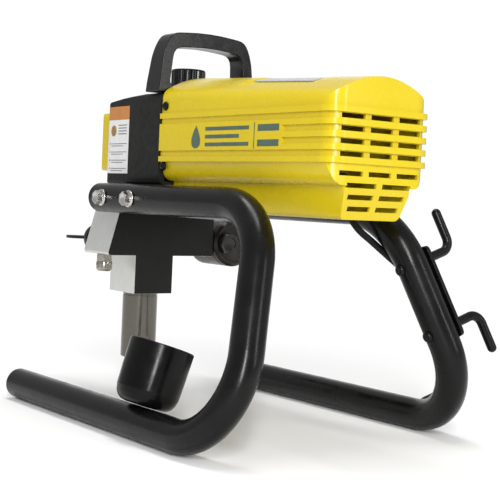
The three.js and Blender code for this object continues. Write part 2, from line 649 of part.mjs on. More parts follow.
// ---------- mains lead ----------
// It leaves the shroud's far side, drops to the far runner, follows the tube's hidden side to the
// ground and ends in a flat hank with its plug, beside the lower run.
const CORD_R = 3.5;
const CORD_ROUTE = [
  [-48, -123.9, 231.5], [-48, -112, 230.8], [-48.5, -101, 224], [-50.5, -92.5, 213.5], [-56, -87, 204.5],
  [-66, -82.5, 196], [-79, -80, 186.5], [-92, -78.5, 177.5], [-104, -73, 167], [-115.5, -61, 151.5],
  [-122.3, -53.4, 133.4], [-128.4, -47.4, 115.3], [-134.2, -41.8, 98], [-139.2, -39.4, 83.4],
  [-144.8, -42.6, 66.5], [-149.8, -51.6, 51.6], [-153.8, -65.4, 41], [-158.5, -81, 34], [-165, -97, 27.5],
  [-168.6, -112, 17.5],
  [-168.6, -125, 8.2], [-167.6, -137.4, 3.8],
];
const HANK = { near: -164.3, far: -220.2, rear: -138, front: -331, low: 0.1, high: 14 };

function powerCord() {
  const path = new THREE.CatmullRomCurve3(CORD_ROUTE.map((point) => new THREE.Vector3(...point)));
  return new THREE.ExtrudeGeometry(outline(ngon(8, CORD_R)), { steps: 26, extrudePath: path });
}
add('power_cord', powerCord(), rubber);

function cordHank() {
  const { near, far, rear, front, low, high } = HANK;
  const r = (near - far) / 2;
  const loop = new THREE.Shape();
  loop.absarc((near + far) / 2, rear - r, r, 0, Math.PI);
  loop.absarc((near + far) / 2, front + r, r, Math.PI, 2 * Math.PI);
  return prismZ(loop, low, high, 8);
}
add('cord_hank', cordHank(), rubber);

// The gland's tapered relief points backwards from a boss on the shroud's far side.
function cordGland() {
  const boss = box(-56, -40.4, -152, -140, 223, 239);
  const relief = turnedY([[0, -142], [7, -142], [4.6, -124.6], [0, -124.6]], 14).translate(-48, 0, 231.5);
  return join(boss, relief);
}
add('cord_gland', cordGland(), rubber);

function mainsPlug() {
  const tail = turnedY([[0, -349], [7, -349], [4.6, -331.8], [0, -331.8]], 14);
  const body = prismY(outline([[-10, -9.9, 4], [10, -9.9, 4], [10, 9.9, 4], [-10, 9.9, 4]]), -384, -348);
  const pins = [-5.5, 5.5].map((x) => box(x - 0.8, x + 0.8, -401, -383, -1, 5.5));
  pins.push(box(-3.2, 3.2, -401, -383, -7, -5.4));
  return join(tail, body, ...pins).translate(-175.2, 0, 10.2);
}
add('mains_plug', mainsPlug(), rubber);

// ---------- origin: on the ground, in the middle of the footprint ----------
machine.updateMatrixWorld(true);
const CORD_PIECES = ['power_cord', 'cord_hank', 'cord_gland', 'mains_plug'];
const extent = new THREE.Box3();
for (const mesh of machine.getObjectsByProperty('isMesh', true)) {
  if (!CORD_PIECES.includes(mesh.name)) extent.expandByObject(mesh, true);
}
machine.position.set(-(extent.min.x + extent.max.x) / 2, -(extent.min.y + extent.max.y) / 2, -extent.min.z);

export default machine;
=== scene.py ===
import json
import math

import bmesh
import bpy
from mathutils import Matrix, Vector


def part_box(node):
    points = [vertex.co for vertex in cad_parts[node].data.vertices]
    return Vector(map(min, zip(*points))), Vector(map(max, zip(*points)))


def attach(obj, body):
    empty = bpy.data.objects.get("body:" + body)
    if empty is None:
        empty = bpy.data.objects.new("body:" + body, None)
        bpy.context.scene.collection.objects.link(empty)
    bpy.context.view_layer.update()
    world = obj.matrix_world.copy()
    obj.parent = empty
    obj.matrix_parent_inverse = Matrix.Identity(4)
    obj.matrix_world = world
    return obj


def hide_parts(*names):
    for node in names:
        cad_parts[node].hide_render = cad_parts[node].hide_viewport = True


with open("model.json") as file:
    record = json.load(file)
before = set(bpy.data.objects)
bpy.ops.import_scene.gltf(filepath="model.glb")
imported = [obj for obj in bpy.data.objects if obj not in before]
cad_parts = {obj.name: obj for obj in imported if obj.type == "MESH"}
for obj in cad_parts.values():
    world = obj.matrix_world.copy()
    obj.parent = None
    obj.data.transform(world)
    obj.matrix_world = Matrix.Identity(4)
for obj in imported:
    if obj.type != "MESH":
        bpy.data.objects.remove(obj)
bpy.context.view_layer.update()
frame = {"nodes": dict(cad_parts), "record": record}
NODES = frame["nodes"]

# ---------- places and sizes, in metres ----------
# The machine's own axes have x = 0 on its centre plane. The inlet ball, a centred piece, gives the shift.
BALL_IN_MACHINE = Vector((0, -0.407, 0.0638))
SHIFT = sum(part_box("inlet_ball"), Vector()) / 2 - BALL_IN_MACHINE

TUBE_R = 0.016
LEAN = math.radians(18.5)
RUNNER_X = 0.148
RUNNER_H = 0.2214
UPRIGHT_SLOPE_Y = -0.0694
BEND_R = (0.067, 0.080)
LOWER_FRONT_Y = -0.411
UPPER_FRONT_Y = -0.369
BOLT_Y = {"front": -0.341, "rear": -0.283}
BOLT_SHANK = [(0, -0.026), (0.004, -0.026), (0.004, 0.017), (0, 0.017)]
HOOK_AT = {"lower": 0.104, "upper": 0.174}
HOOK_R = 0.00475
TIP_STEPS = 6
PUMP_Y = -0.407
KNOB_Y = -0.3235
FLATS_TURN = math.radians(70)
CORD_R = 0.0035


def at(x, y, z):
    """A point of the machine's own axes, in the frame's."""
    return Vector((x, y, z)) + SHIFT


def on_runner(side, out, y, up):
    """A point in a runner's leaning plane: out from it, along the machine and up it."""
    sine, cosine = math.sin(LEAN), math.cos(LEAN)
    x = side * (RUNNER_X + out * cosine - up * sine)
    return at(x, y, TUBE_R + out * sine + up * cosine)


def out_of_runner(side):
    return Vector((side * math.cos(LEAN), 0, math.sin(LEAN)))


# ---------- camera ----------
CAMERA_AT = (0.74588, 1.05461, 0.23057)
CAMERA_TURN = (143.68, 2.38, 2.61)  # azimuth, pitch and roll, in degrees
LENS = 86.85
SENSOR = 36


def make_camera():
    azimuth, pitch, roll = (math.radians(v) for v in CAMERA_TURN)
    back = Vector((
        math.sin(azimuth) * math.cos(pitch),
        -math.cos(azimuth) * math.cos(pitch),
        math.sin(pitch),
    ))
    level = Vector((0, 0, 1)).cross(back).normalized()
    upright = back.cross(level)
    right = math.cos(roll) * level + math.sin(roll) * upright
    top = math.cos(roll) * upright - math.sin(roll) * level
    data = bpy.data.cameras.new("camera")
    data.lens = LENS
    data.sensor_width = SENSOR
    camera = bpy.data.objects.new("camera", data)
    facing = Matrix((right, top, back)).transposed().to_4x4()
    camera.matrix_world = Matrix.Translation(CAMERA_AT) @ facing
    bpy.context.scene.collection.objects.link(camera)
    bpy.context.scene.camera = camera


make_camera()


# ---------- materials ----------
class Finish:
    """A procedural material: mottled colour, uneven roughness and two scales of relief."""

    def __init__(self, name, colour, rough, metal=0.0, coat=0.0, specular=0.5):
        self.material = bpy.data.materials.new(name)
        self.material.use_nodes = True
        self.tree = self.material.node_tree
        self.shader = self.tree.nodes["Principled BSDF"]
        self.shader.inputs["Base Color"].default_value = (*colour, 1)
        self.shader.inputs["Roughness"].default_value = rough
        self.shader.inputs["Metallic"].default_value = metal
        self.shader.inputs["Specular IOR Level"].default_value = specular
        self.shader.inputs["Coat Weight"].default_value = coat
        self.shader.inputs["Coat Roughness"].default_value = 0.12
        self.colour = colour
        self.rough = rough
        self.place = self.tree.nodes.new("ShaderNodeTexCoord").outputs["Object"]
        self.relief = None

    def stretched(self, scale):
        node = self.tree.nodes.new("ShaderNodeMapping")
        node.inputs["Scale"].default_value = scale
        self.tree.links.new(self.place, node.inputs["Vector"])
        return node.outputs["Vector"]

    def noise(self, scale, stretch):
        node = self.tree.nodes.new("ShaderNodeTexNoise")
        node.inputs["Scale"].default_value = scale
        node.inputs["Detail"].default_value = 4
        self.tree.links.new(self.stretched(stretch), node.inputs["Vector"])
        return node.outputs["Fac"]

    def ramp(self, value, low, high, stops=(0.35, 0.65)):
        node = self.tree.nodes.new("ShaderNodeValToRGB")
        for element, place, colour in zip(node.color_ramp.elements, stops, (low, high)):
            element.position = place
            element.color = (*colour, 1)
        self.tree.links.new(value, node.inputs["Fac"])
        return node.outputs["Color"]

    def mottle(self, scale, spread, stretch=(1, 1, 1)):
        low = [c * (1 - spread) for c in self.colour]
        high = [min(1, c * (1 + spread)) for c in self.colour]
        colour = self.ramp(self.noise(scale, stretch), low, high)
        self.tree.links.new(colour, self.shader.inputs["Base Color"])
        return self

    def uneven(self, scale, spread, stretch=(1, 1, 1)):
        low = [max(0.03, self.rough - spread)] * 3
        high = [min(1, self.rough + spread)] * 3
        rough = self.ramp(self.noise(scale, stretch), low, high)
        self.tree.links.new(rough, self.shader.inputs["Roughness"])
        return self

    def bump(self, scale, strength, distance, stretch=(1, 1, 1)):
        node = self.tree.nodes.new("ShaderNodeBump")
        node.inputs["Strength"].default_value = strength
        node.inputs["Distance"].default_value = distance
        self.tree.links.new(self.noise(scale, stretch), node.inputs["Height"])
        if self.relief:
            self.tree.links.new(self.relief, node.inputs["Normal"])
        self.relief = node.outputs["Normal"]
        self.tree.links.new(self.relief, self.shader.inputs["Normal"])
        return self


TURNED = (6, 6, 260)  # fine rings across a vertical turned piece
powder_coat = Finish("powder_coat", (0.004, 0.0042, 0.004), 0.26, specular=0.2)
powder_coat.mottle(30, 0.2).uneven(60, 0.05).bump(900, 0.1, 0.0001).bump(90, 0.04, 0.0006)
soft_plug = Finish("soft_plug", (0.006, 0.006, 0.006), 0.6, specular=0.17)
soft_plug.mottle(60, 0.2).uneven(90, 0.08).bump(700, 0.15, 0.0002)
zinc = Finish("zinc", (0.6, 0.59, 0.57), 0.2, metal=1)
zinc.mottle(120, 0.08).uneven(200, 0.07).bump(400, 0.06, 0.0002)
nickel = Finish("nickel", (0.38, 0.355, 0.31), 0.22, metal=1)
nickel.mottle(120, 0.12).uneven(200, 0.08).bump(400, 0.06, 0.0002)
cup_black = Finish("cup_black", (0.003, 0.003, 0.003), 0.22, specular=0.16)
cup_black.mottle(40, 0.2).uneven(80, 0.05).bump(500, 0.06, 0.0002)
casting = Finish("casting", (0.0115, 0.0125, 0.0108), 0.6, specular=0.17)
casting.mottle(70, 0.12).uneven(150, 0.06).bump(1400, 0.35, 0.0003).bump(300, 0.1, 0.0004)
yellow = Finish("yellow", (0.6, 0.46, 0.008), 0.28, coat=0.1, specular=0.3)
yellow.mottle(9, 0.03).uneven(50, 0.05).bump(420, 0.03, 0.0003).bump(14, 0.04, 0.002)
spec_plate = Finish("spec_plate", (0.62, 0.62, 0.62), 0.3, metal=0.9)
spec_plate.mottle(60, 0.05, (1, 30, 1)).uneven(90, 0.08, (1, 30, 1))
milled = Finish("milled", (0.68, 0.683, 0.66), 0.4, metal=0.75)
milled.mottle(60, 0.06, (1, 12, 1)).uneven(90, 0.08, (1, 14, 1)).bump(260, 0.1, 0.0002, (1, 9, 1))
# A dark finish for the milled pump block's rear-facing faces: painted shade, standing for the shadow on
# that face of the aluminium block.
rear_face_painted_shade = Finish("rear_face_painted_shade", (0.010, 0.0105, 0.0095), 0.5, specular=0.2)
rear_face_painted_shade.mottle(60, 0.15).uneven(120, 0.06).bump(1200, 0.2, 0.0002)
# A darker copy of the steel finish, for the inlet cylinder: its low colour is painted reflection, standing
# for dark surroundings mirrored in the turned cylinder. Its bright streak comes from the key lamp.
stainless = Finish("stainless", (0.15, 0.14, 0.122), 0.2, metal=1)
stainless.mottle(20, 0.12, TURNED).uneven(20, 0.06, TURNED).bump(20, 0.12, 0.0001, TURNED)
steel = Finish("steel", (0.5, 0.5, 0.48), 0.32, metal=1)
steel.mottle(90, 0.1).uneven(160, 0.08).bump(500, 0.08, 0.0002)
filter_metal = Finish("filter_metal", (0.035, 0.032, 0.027), 0.3, metal=0.7, specular=0.3)
filter_metal.mottle(35, 0.25).uneven(70, 0.08).bump(500, 0.15, 0.0003)
filter_plug = Finish("filter_plug", (0.03, 0.028, 0.025), 0.2, metal=0.6, coat=0.1)
filter_plug.mottle(60, 0.2).uneven(90, 0.06).bump(400, 0.08, 0.0002)
polymer = Finish("polymer", (0.75, 0.75, 0.72), 0.5)
polymer.mottle(80, 0.04).uneven(120, 0.06).bump(500, 0.08, 0.0002)
copper = Finish("copper", (0.45, 0.19, 0.08), 0.35, metal=0.8)
copper.mottle(300, 0.3, (1, 0.1, 1)).uneven(200, 0.08).bump(900, 0.3, 0.0004, (1, 0.1, 1))
moulded = Finish("moulded", (0.005, 0.005, 0.0052), 0.25, specular=0.36)
moulded.mottle(40, 0.2).uneven(80, 0.05).bump(650, 0.08, 0.0002)
sheath = Finish("sheath", (0.007, 0.007, 0.007), 0.5, specular=0.2)
sheath.mottle(70, 0.2).uneven(90, 0.07).bump(600, 0.12, 0.0002)
tie_nylon = Finish("tie_nylon", (0.011, 0.011, 0.0115), 0.38, specular=0.35)
tie_nylon.mottle(70, 0.2).uneven(90, 0.06).bump(700, 0.1, 0.0002)
paper = Finish("paper", (0.72, 0.72, 0.72), 0.5, coat=0.1)
paper.mottle(90, 0.04).uneven(120, 0.05)
orange_ink = Finish("orange_ink", (0.5, 0.19, 0.035), 0.5, coat=0.1)
orange_ink.mottle(90, 0.06).uneven(120, 0.05)
brown_ink = Finish("brown_ink", (0.3, 0.17, 0.04), 0.5)
brown_ink.mottle(200, 0.2).uneven(120, 0.05)
grey_ink = Finish("grey_ink", (0.2, 0.2, 0.21), 0.5)
grey_ink.mottle(300, 0.25).uneven(120, 0.05)
green_ink = Finish("green_ink", (0.06, 0.1, 0.075), 0.42, coat=0.1)
green_ink.mottle(120, 0.1).uneven(120, 0.05)

FINISH_OF_SLOT = {
    "runner_paint": powder_coat, "end_plug": soft_plug, "zinc_plate": zinc, "cup_plastic": cup_black,
    "drive_casting": casting, "yellow_shell": yellow, "rating_foil": spec_plate, "bare_aluminium": milled,
    "stainless": steel, "filter_casting": filter_metal, "white_polymer": polymer, "copper_windings": copper,
    "black_plastic": moulded, "cord_rubber": sheath,
}
SLOT_OF_NODE = {part["node"]: part["material_slot"] for part in frame["record"]["subparts"]}
BODY_OF_NODE = {
    node: body for body, members in frame["record"]["behaviour"]["bodies"].items() for node in members
}


# ---------- making pieces ----------
SHARP_FROM = math.radians(32)
SAME_PLACE = 2e-6
SIXTH_TURN = math.pi / 3


def smooth(mesh):
    mesh.shade_smooth()
    mesh.set_sharp_from_angle(angle=SHARP_FROM)


def finished(name, mesh, finishes, body, nodes=()):
    """Makes the piece, gives it its finishes, and lets it ride and stand for its nodes."""
    piece = bpy.data.objects.new(name, mesh)
    bpy.context.scene.collection.objects.link(piece)
    mesh.materials.clear()
    for finish in finishes:
        mesh.materials.append(finish.material)
    if nodes:
        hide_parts(*nodes)
    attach(piece, body)
    return piece


def stand_in(node, mesh, finish=None):
    """A finer piece for one CAD node, with that node's body and slot."""
    slot = SLOT_OF_NODE[node]
    finishes = [finish or FINISH_OF_SLOT[slot]]
    return finished(f"{node}_fine", mesh, finishes, BODY_OF_NODE[node], [node])


def to_mesh(name, bm):
    bmesh.ops.recalc_face_normals(bm, faces=bm.faces)
    mesh = bpy.data.meshes.new(name)
    bm.to_mesh(mesh)
    bm.free()
    smooth(mesh)
    return mesh


def merged(name, *meshes):
    bm = bmesh.new()
    for mesh in meshes:
        bm.from_mesh(mesh)
    return to_mesh(name, bm)


def add_rings(bm, rings, closed=False):
    """Skins a list of rings of points. Open ends are capped."""
    loops = [[bm.verts.new(point) for point in ring] for ring in rings]
    count = len(loops[0])
    for first, second in zip(loops, loops[1:] + (loops[:1] if closed else [])):
        for i in range(count):
            j = (i + 1) % count
            bm.faces.new((first[i], first[j], second[j], second[i]))
    if not closed:
        bm.faces.new(list(reversed(loops[0])))
        bm.faces.new(loops[-1])


def eased(profile, radius):
    """A profile of (r, h) points with each inner corner rounded off."""
    steps = 3
    points = [Vector(p) for p in profile]
    out = [points[0]]
    for before, here, after in zip(points, points[1:], points[2:]):
        back, on = before - here, after - here
        reach = min(radius, back.length * 0.45, on.length * 0.45)
        start, end = here + back.normalized() * reach, here + on.normalized() * reach
        for k in range(steps + 1):
            t = k / steps
            out.append(start * (1 - t) ** 2 + here * 2 * t * (1 - t) + end * t ** 2)
    return [tuple(p) for p in out + [points[-1]]]


def turned(name, profile, origin, axis, ref=(0, 0, 1), segments=64, shape=None, ease=0.0004):
    """Turns (r, h) about an axis. shape(angle, r, h) may change a radius, to cut flats or flutes."""
    axis = Vector(axis).normalized()
    side = Vector(ref).cross(axis).normalized()
    other = axis.cross(side)
    closed = profile[0] == profile[-1]
    rings = []
    for r, h in eased(profile, ease) if ease else profile:
        r = max(r, 1e-5)
        ring = []
        for i in range(segments):
            a = 2 * math.pi * i / segments
            reach = shape(a, r, h) if shape else r
            ring.append(origin + axis * h + (side * math.cos(a) + other * math.sin(a)) * reach)
        rings.append(ring)
    bm = bmesh.new()
    add_rings(bm, rings[:-1] if closed else rings, closed)
    return to_mesh(name, bm)


def hex_reach(across, angle):
    return across / 2 / math.cos(angle % SIXTH_TURN - SIXTH_TURN / 2)


def hexagon(across, round_inside=0.0):
    """A shape for turned(): a hexagon, where radii under `round_inside` stay round."""
    def reach(angle, r, h):
        return r if r < round_inside else min(r, hex_reach(across, angle))
    return reach


def chamfered_hexagon(across, top):
    """A shape for turned(): a hexagon whose corners are chamfered towards the height `top`."""
    corner, slope = 0.00066, 1.2

    def reach(angle, r, h):
        cone = across / 2 + max(0, corner + (abs(top) - abs(h)) * slope)
        return min(r, hex_reach(across, angle), cone)
    return reach


def sweep(name, path, radii, sides):
    """A round bar along a path, with a radius for each of its points."""
    rings = []
    tangent = (path[1] - path[0]).normalized()
    side = tangent.orthogonal().normalized()
    for i, (point, r) in enumerate(zip(path, radii)):
        ahead = path[min(i + 1, len(path) - 1)] - path[max(i - 1, 0)]
        turn = tangent.rotation_difference(ahead.normalized())
        side = (turn @ side).normalized()
        tangent = ahead.normalized()
        other = tangent.cross(side)
        ring = []
        for k in range(sides):
            a = 2 * math.pi * k / sides
            ring.append(point + (side * math.cos(a) + other * math.sin(a)) * r)
        rings.append(ring)
    bm = bmesh.new()
    add_rings(bm, rings)
    return to_mesh(name, bm)


def filleted(corners, radii, steps=24):
    """Straight runs joined by arcs."""
    path = [corners[0]]
    for before, corner, after, radius in zip(corners, corners[1:], corners[2:], radii):
        back, on = (before - corner).normalized(), (after - corner).normalized()
        half = back.angle(on) / 2
        middle = corner + (back + on).normalized() * (radius / math.sin(half))
        spoke = corner + back * (radius / math.tan(half)) - middle
        axis = spoke.cross(-back).normalized()
        for k in range(steps + 1):
            path.append(middle + Matrix.Rotation((math.pi - 2 * half) * k / steps, 3, axis) @ spoke)
    return path + [corners[-1]]


def applied(mesh, name, *settings):
    """A mesh with modifiers applied, each a (type, values) pair."""
    holder = bpy.data.objects.new(name, mesh)
    bpy.context.scene.collection.objects.link(holder)
    for kind, values in settings:
        modifier = holder.modifiers.new(kind.lower(), kind)
        for key, value in values.items():
            setattr(modifier, key, value)
    graph = bpy.context.evaluated_depsgraph_get()
    result = bpy.data.meshes.new_from_object(holder.evaluated_get(graph))
    bpy.data.objects.remove(holder)
    return result


def eased_copy(node, width, angle=28, segments=3):
    """The CAD node's own shape with its real edges rounded off."""
    bm = bmesh.new()
    bm.from_mesh(NODES[node].data)
    bmesh.ops.remove_doubles(bm, verts=bm.verts, dist=SAME_PLACE)
    bmesh.ops.dissolve_limit(bm, angle_limit=math.radians(0.6), verts=bm.verts, edges=bm.edges)
    mesh = to_mesh(node + "_copy", bm)
    bevel = {
        "width": width, "segments": segments, "limit_method": "ANGLE",
        "angle_limit": math.radians(angle), "use_clamp_overlap": True,
    }
    return applied(mesh, node + "_copy", ("BEVEL", bevel), ("WEIGHTED_NORMAL", {"keep_sharp": True}))


# ---------- mains lead ----------
# The route of the lead from the gland to the hank, in the machine's own axes.
CORD_ROUTE = [
    (-0.048, -0.1239, 0.2315), (-0.048, -0.112, 0.2308), (-0.0485, -0.101, 0.224),
    (-0.0505, -0.0925, 0.2135), (-0.056, -0.087, 0.2045), (-0.066, -0.0825, 0.196),
    (-0.079, -0.080, 0.1865), (-0.092, -0.0785, 0.1775), (-0.104, -0.073, 0.167),
    (-0.1155, -0.061, 0.1515), (-0.1223, -0.0534, 0.1334), (-0.1284, -0.0474, 0.1153),
    (-0.1342, -0.0418, 0.098), (-0.1392, -0.0394, 0.0834), (-0.1448, -0.0426, 0.0665),
    (-0.1498, -0.0516, 0.0516), (-0.1538, -0.0654, 0.041), (-0.1585, -0.081, 0.034),
    (-0.165, -0.097, 0.0275), (-0.1686, -0.112, 0.0175), (-0.1686, -0.125, 0.0082),
    (-0.1676, -0.1374, 0.0038),
]
HANK_FRONT = -0.303
HANK_REAR = -0.163
LANES = (-0.1675, -0.1745, -0.2095, -0.2165)
LAYERS = (0.0035, 0.0105)
FOLD_STEPS = 14
PLUG_TAIL = (-0.1752, -0.3318, 0.0102)


def catmull_rom(points, steps=5):
    """A smooth line through the points."""
    points = [Vector(p) for p in points]
    ends = [2 * points[0] - points[1]] + points + [2 * points[-1] - points[-2]]
    line = []
    for a, b, c, d in zip(ends, ends[1:], ends[2:], ends[3:]):
        for k in range(steps):
            t = k / steps
            line.append(0.5 * (
                2 * b + (c - a) * t + (2 * a - 5 * b + 4 * c - d) * t ** 2
                + (3 * b - a - 3 * c + d) * t ** 3))
    return line + [points[-1]]


def hank_turns():
    """The flat hank: straight runs between folds, on two layers."""
    low, high = LAYERS
    folds = [  # from lane, to lane, at the front, height before, height after, centre's shift
        (0, 3, True, low, low, 0), (3, 1, False, low, low, 0), (1, 2, True, low, low, 0),
        (2, 1, False, low, high, -0.005), (1, 2, True, high, high, 0), (2, 0, False, high, high, 0),
    ]
    line = [Vector((LANES[0], HANK_REAR, low))]
    for start, end, front, before, after, shift in folds:
        here, there = LANES[start], LANES[end]
        centre_y = (HANK_FRONT if front else HANK_REAR) + shift
        way = -1 if front else 1
        for k in range(FOLD_STEPS + 1):
            a = math.pi * k / FOLD_STEPS
            x = (here + there) / 2 + (here - there) / 2 * math.cos(a)
            y = centre_y + way * abs(here - there) / 2 * math.sin(a)
            line.append(Vector((x, y, before + (after - before) * k / FOLD_STEPS)))
    to_plug = [(LANES[0], HANK_FRONT, high), (-0.17, -0.32, high), PLUG_TAIL]
    return line + catmull_rom(to_plug, 4)


def length_of(line):
    return sum((b - a).length for a, b in zip(line, line[1:]))


def make_cord():
    line = [p + SHIFT for p in catmull_rom(CORD_ROUTE) + hank_turns()]
    data = bpy.data.curves.new("mains_lead", "CURVE")
    data.dimensions = "3D"
    data.bevel_depth = CORD_R
    data.bevel_resolution = 6
    data.use_fill_caps = True
    spline = data.splines.new("POLY")
    spline.points.add(len(line) - 1)
    for point, place in zip(spline.points, line):
        point.co = (*place, 1)
    spline.use_smooth = True
    data.materials.append(sheath.material)
    lead = bpy.data.objects.new("mains_lead", data)
    bpy.context.scene.collection.objects.link(lead)
    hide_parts("power_cord", "cord_hank")
    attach(lead, "frame")
    return lead, length_of(line)


def make_plug():
    x, end, z = PLUG_TAIL
    taper = [(0, -0.349), (0.007, -0.349), (0.0066, -0.344), (0.0046, end), (0, end)]
    tail = turned("tail", taper, at(x, 0, z), (0, 1, 0), segments=48)
    plug = stand_in("mains_plug", merged("plug", eased_copy("mains_plug", 0.0012), tail))
    plug.data.materials.append(zinc.material)
    pins_start = at(0, -0.3845, 0).y
    for face in plug.data.polygons:
        face.material_index = int(face.center.y < pins_start)
    return plug


def make_gland():
    """A boss and a relief whose rings taper towards the lead."""
    count, pitch, depth = 5, 0.0032, 0.0009
    rings = []
    for i in range(count):
        r = 0.007 - 0.0024 * i / count
        start = -0.141 + pitch * i
        rings += [(r - depth, start), (r, start + 0.0005), (r, start + 0.0021), (r - depth, start + 0.0026)]
    profile = [(0, -0.1425)] + rings + [(0.0046, -0.1248), (0, -0.1246)]
    x, _, z = CORD_ROUTE[0]
    relief = turned("relief", profile, at(x, 0, z), (0, 1, 0), segments=48, ease=0.0002)
    bm = bmesh.new()
    bm.from_mesh(NODES["cord_gland"].data)
    bmesh.ops.remove_doubles(bm, verts=bm.verts, dist=SAME_PLACE)
    behind = at(0, -0.1398, 0).y
    bmesh.ops.delete(bm, geom=[v for v in bm.verts if v.co.y > behind], context="VERTS")
    bmesh.ops.holes_fill(bm, edges=bm.edges)
    boss = applied(to_mesh("boss", bm), "boss", ("BEVEL", {"width": 0.001, "segments": 3}))
    return stand_in("cord_gland", merged("gland", boss, relief))


lead, lead_length = make_cord()
plug_piece = make_plug()
gland_piece = make_gland()


def make_tie():
    """A flat tie round the hank: a rounded rectangular loop with its head on top."""
    centre = at((LANES[0] + LANES[3]) / 2, -0.235, 0.00735)
    side, along, up = Vector((-1, 0, 0)), Vector((0, 1, 0)), Vector((0, 0, 1))
    half_wide, half_high, width, thick = 0.0281, 0.0067, 0.007, 0.0006
    squareness = 8
    half = along * width / 2
    rings = []
    for i in range(56):
        a = 2 * math.pi * i / 56
        spread = (abs(math.cos(a)) ** squareness + abs(math.sin(a)) ** squareness) ** (-1 / squareness)
        inner = side * math.cos(a) * spread * half_wide + up * math.sin(a) * spread * half_high
        outer = inner + inner.normalized() * thick
        rings.append([centre + p for p in (inner - half, inner + half, outer + half, outer - half)])
    bm = bmesh.new()
    add_rings(bm, rings, closed=True)
    head = bmesh.ops.create_cube(bm, size=1)["verts"]
    turn = Matrix((side, along, up)).transposed()
    size = Vector((0.006, 0.0055, 0.0035))
    for vert in head:
        vert.co = centre + up * (half_high + thick) + turn @ (vert.co * size)
    mesh = applied(to_mesh("hank_tie", bm), "hank_tie", ("BEVEL", {"width": 0.0003, "segments": 2}))
    smooth(mesh)
    finished("hank_tie", mesh, [tie_nylon], "frame")


make_tie()


# ---------- runners, plugs, bolts ----------
def make_runner(side, word):
    corners = [
        on_runner(side, 0, LOWER_FRONT_Y, 0), on_runner(side, 0, 0, 0),
        on_runner(side, 0, UPRIGHT_SLOPE_Y, RUNNER_H), on_runner(side, 0, UPPER_FRONT_Y, RUNNER_H),
    ]
    path = filleted(corners, BEND_R)
    stand_in(f"{word}_runner_tube", sweep(word, path, [TUBE_R] * len(path), 56))
    rim = [(0, 0.0003), (TUBE_R, 0.0003), (TUBE_R, 0.002), (0.0135, 0.0031), (0.009, 0.0041), (0, 0.0045)]
    for level, y, up in (("lower", LOWER_FRONT_Y, 0), ("upper", UPPER_FRONT_Y, RUNNER_H)):
        mesh = turned("rim", rim, on_runner(side, 0, y, up), (0, -1, 0), ease=0.0006)
        stand_in(f"{word}_{level}_plug", mesh)
    outwards = Vector((side, 0, 0))
    flange = [(0, 0.0163), (0.009, 0.0163), (0.009, 0.017), (0.0078, 0.0185), (0, 0.0186)]
    top = 0.0242
    head = [(0, 0.018), (0.0076, 0.018), (0.0076, top), (0.004, top), (0.0036, 0.0237), (0, 0.0237)]
    for place, y in BOLT_Y.items():
        origin = on_runner(side, 0, y, RUNNER_H)
        meshes = [
            turned("flange", flange, origin, outwards, (0, 1, 0)),
            turned("head", head, origin, outwards, (0, 1, 0), 72, chamfered_hexagon(0.013, top), 0.0003),
            turned("shank", BOLT_SHANK, origin, outwards, (0, 1, 0)),
        ]
        stand_in(f"{word}_{place}_bolt", merged("bolt", *meshes))


make_runner(1, "outlet")
make_runner(-1, "filter")


# ---------- cord hooks ----------
SCREW_PARTS = {
    "head": [
        (0, -0.0196), (0.0036, -0.0196), (0.005, -0.0188),
        (0.0058, -0.0172), (0.0058, -0.0163), (0, -0.0163),
    ],
    "shank": [(0, -0.017), (0.003, -0.017), (0.003, 0.02), (0, 0.02)],
}


def make_hooks():
    foot, head = on_runner(-1, 0, 0, 0), on_runner(-1, 0, UPRIGHT_SLOPE_Y, RUNNER_H)
    along = (head - foot).normalized()
    out = out_of_runner(-1)
    for word, distance in HOOK_AT.items():
        base = foot + along * distance
        way = 1 if word == "upper" else -1
        corners = [
            base + out * (TUBE_R + 0.0046), base + out * 0.055, base + out * 0.055 + along * way * 0.043,
        ]
        path = filleted(corners, [0.012], 16)
        turns = [math.pi / 2 * k / TIP_STEPS for k in range(TIP_STEPS + 1)]
        tip = [path[-1] - along * way * HOOK_R * (1 - math.sin(a)) for a in turns]
        widths = [HOOK_R] * (len(path) - 1) + [max(0.0001, HOOK_R * math.cos(a)) for a in turns]
        stand_in(f"{word}_cord_hook", sweep("hook", path[:-1] + tip, widths, 36))
        screw = [turned(name, profile, base, out, (0, 0, 1)) for name, profile in SCREW_PARTS.items()]
        stand_in(f"{word}_hook_screw", merged("screw", *screw))
    stand_in("hook_plate", eased_copy("hook_plate", 0.0008))


make_hooks()


# ---------- drip cup ----------
def make_cup():
    up = Vector((-math.sin(LEAN), 0, math.cos(LEAN)))
    r, height = 0.0315, 0.060
    origin = on_runner(1, 0, -0.1576, 0) + up * (TUBE_R + 0.0005)
    profile = [
        (0, 0.0085), (0.0064, 0.0085), (0.0064, 0), (r - 0.014, 0), (r - 0.0085, 0.0014),
        (r - 0.005, 0.004), (r - 0.0025, 0.0082), (r - 0.001, 0.014), (r - 0.0004, 0.03),
        (r, height - 0.001), (r - 0.0004, height), (r - 0.0021, height), (r - 0.0025, height - 0.001),
        (r - 0.0035, 0.017), (r - 0.005, 0.0135), (r - 0.008, 0.0115), (0, 0.0115),
    ]
    stand_in("drip_cup", turned("cup", profile, origin, up, (0, 1, 0), 112, ease=0.0007))


make_cup()


# ---------- pump ----------
def make_block():
    block = stand_in("pump_block", eased_copy("pump_block", 0.0007, segments=2))
    block.data.materials.append(rear_face_painted_shade.material)
    # Faces that look to the rear (+Y) take the dark finish, which is painted shade on the block's rear
    # face; the rest stays milled aluminium.
    for face in block.data.polygons:
        face.material_index = int(face.normal.y > 0.75)


